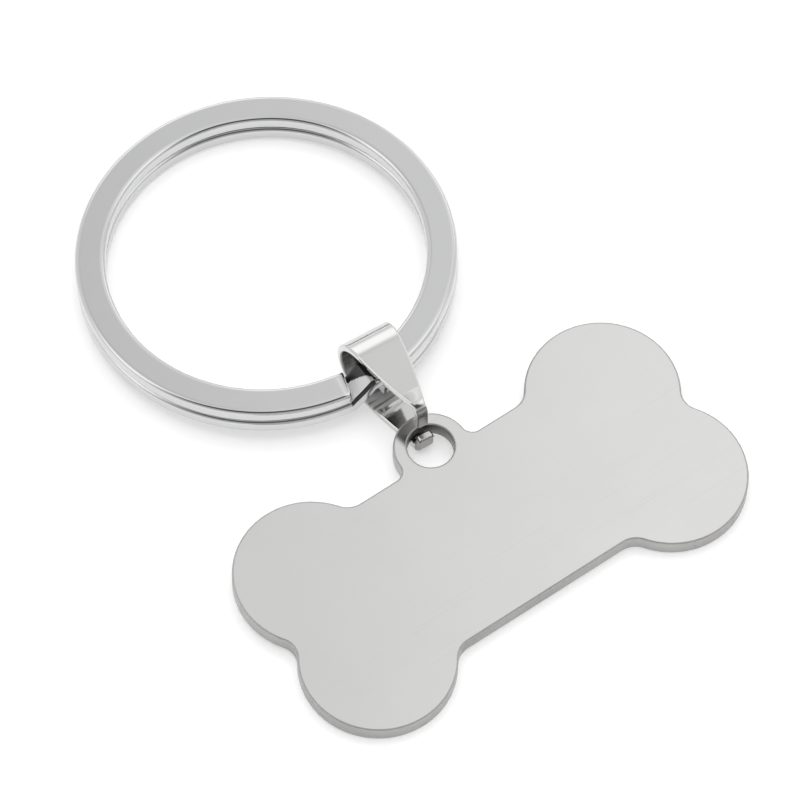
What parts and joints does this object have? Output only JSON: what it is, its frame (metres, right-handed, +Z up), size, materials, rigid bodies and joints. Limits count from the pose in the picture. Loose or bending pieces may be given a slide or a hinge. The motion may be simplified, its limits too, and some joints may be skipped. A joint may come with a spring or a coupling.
{
  "type": "pet id tag",
  "caption": "Blank bone-shaped metal pet tag held by a folded snap bail on a flat-wire split ring, lying flat.",
  "frame": {"origin": "middle of the footprint, on the surface that the part lies on", "axes": "+X along the bone's length, +Y from the bone towards the split ring, +Z up from the surface"},
  "size_m": [0.0396, 0.0546, 0.0063],
  "materials": {
    "tag_steel": "polished stainless steel with a fine bevel round its edges",
    "bail_steel": "bright polished stainless strip",
    "ring_steel": "bright rolled flat wire"
  },
  "bodies": {
    "tag": {"bone_tag": "tag_steel"},
    "bail": {"snap_bail": "bail_steel"},
    "ring": {"split_ring": "ring_steel"}
  },
  "joints": [
    {"name": "bail_swivel", "type": "hinge", "parent": "tag", "child": "bail", "pos_m": [0, -0.00879, 0.00157], "axis": [0, 0, 1], "range_deg": [-24, 16]},
    {"name": "ring_swing", "type": "hinge", "parent": "bail", "child": "ring", "pos_m": [0.00055, -0.00146, 0.00315], "axis": [0.9972, -0.075, 0], "range_deg": [-90, 165]}
  ]
}
